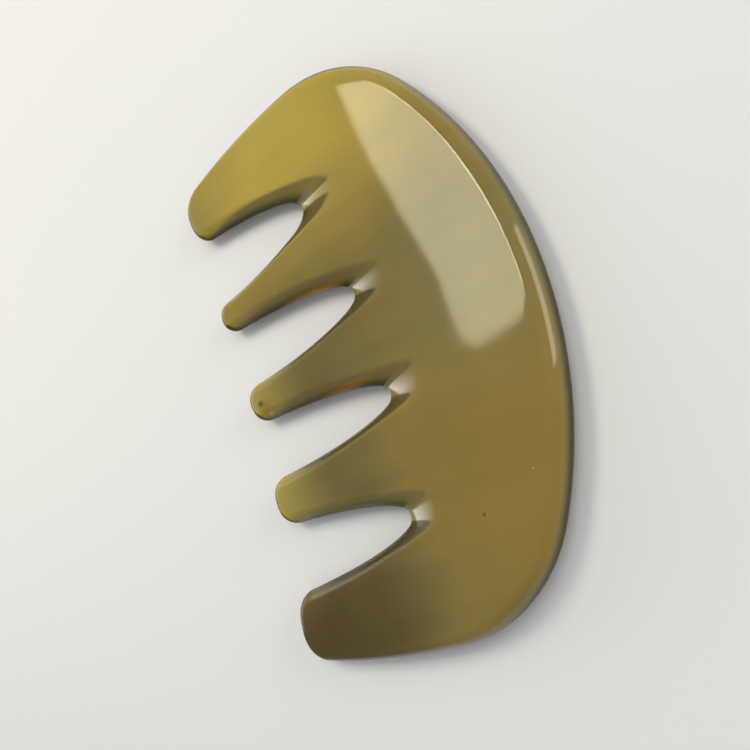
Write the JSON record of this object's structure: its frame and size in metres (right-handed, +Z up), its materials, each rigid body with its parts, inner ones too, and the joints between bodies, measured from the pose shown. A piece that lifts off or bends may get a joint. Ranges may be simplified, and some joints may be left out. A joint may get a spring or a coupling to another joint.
{
  "type": "scalp massage comb",
  "caption": "D-shaped polished horn plate with wide blunt teeth and scooped gaps, drawn over the scalp and through the hair by hand.",
  "frame": {"origin": "on the surface that the comb lies on, under the middle of its bounding box", "axes": "+X from the teeth's tips towards the round spine, +Y along the comb, +Z up out of its front face"},
  "size_m": [0.0862, 0.132, 0.008],
  "materials": {
    "horn": "polished"
  },
  "bodies": {
    "root": {"comb": "horn"}
  },
  "joints": []
}
